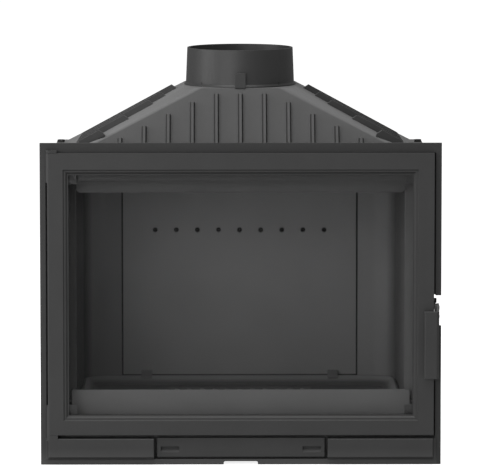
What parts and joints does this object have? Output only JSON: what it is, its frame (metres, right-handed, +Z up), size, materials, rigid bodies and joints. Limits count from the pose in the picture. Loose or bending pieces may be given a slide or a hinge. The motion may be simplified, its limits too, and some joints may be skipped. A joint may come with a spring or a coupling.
{
  "type": "fireplace insert",
  "caption": "Cast-iron fireplace insert with a wide glazed side-hinged door, ribbed hood, round flue collar and ash drawer.",
  "frame": {"origin": "on the floor, below the middle of the part's width and depth", "axes": "+X to the right seen from the door, +Y from the door to the rear wall, +Z up"},
  "size_m": [0.7, 0.45, 0.718],
  "materials": {
    "casting": "matte charcoal stove paint",
    "body_casting": "matte charcoal stove paint",
    "hood_casting": "matte charcoal stove paint",
    "fire_casting": "matte raw casting",
    "steel": "dull zinc-plated",
    "sheet_steel": "satin mill finish",
    "rope_seal": "woven glass fibre",
    "glass": "clear heat-proof glass"
  },
  "bodies": {
    "stove": {"front_frame": "casting", "side_wall_left": "body_casting", "side_wall_right": "body_casting", "rear_wall": "body_casting", "base_plate": "body_casting", "levelling_feet": "steel", "hood": "hood_casting", "hood_gasket": "rope_seal", "hood_bolts": "steel", "flue_collar": "hood_casting", "collar_screws": "steel", "frame_bolts": "steel", "hearth_plate": "fire_casting", "grate": "fire_casting", "log_retainer": "fire_casting", "back_plate": "fire_casting", "plate_hooks": "fire_casting", "lining_left": "fire_casting", "lining_right": "fire_casting", "smoke_baffle": "fire_casting", "air_deflector": "fire_casting", "deflector_screws": "steel", "drawer_runners": "sheet_steel", "hinge_pin_upper": "steel", "hinge_pin_lower": "steel", "keeper_pin": "steel"},
    "door": {"door_frame": "casting", "door_glass": "glass", "glass_gasket": "rope_seal", "glass_clips": "steel", "clip_screws": "steel", "door_rope": "rope_seal", "handle_pin": "steel"},
    "handle_set": {"handle": "casting", "latch_claw": "casting", "claw_rivets": "steel"},
    "ash_drawer": {"ash_front": "casting", "ash_pan": "sheet_steel", "ash_seal": "rope_seal", "ash_screws": "steel"},
    "air_slide": {"air_slide": "sheet_steel"}
  },
  "joints": [
    {"name": "door_hinge", "type": "hinge", "parent": "stove", "child": "door", "pos_m": [-0.3327, -0.204, 0.3], "axis": [0, 0, -1], "range_deg": [0, 110]},
    {"name": "handle_pivot", "type": "hinge", "parent": "door", "child": "handle_set", "pos_m": [0.34, -0.204, 0.277], "axis": [-1, 0, 0], "range_deg": [0, 70]},
    {"name": "drawer_pull", "type": "slide", "parent": "stove", "child": "ash_drawer", "axis": [0, -1, 0], "range_m": [0, 0.26]},
    {"name": "air_control", "type": "slide", "parent": "stove", "child": "air_slide", "axis": [1, 0, 0], "range_m": [0, 0.02]}
  ]
}
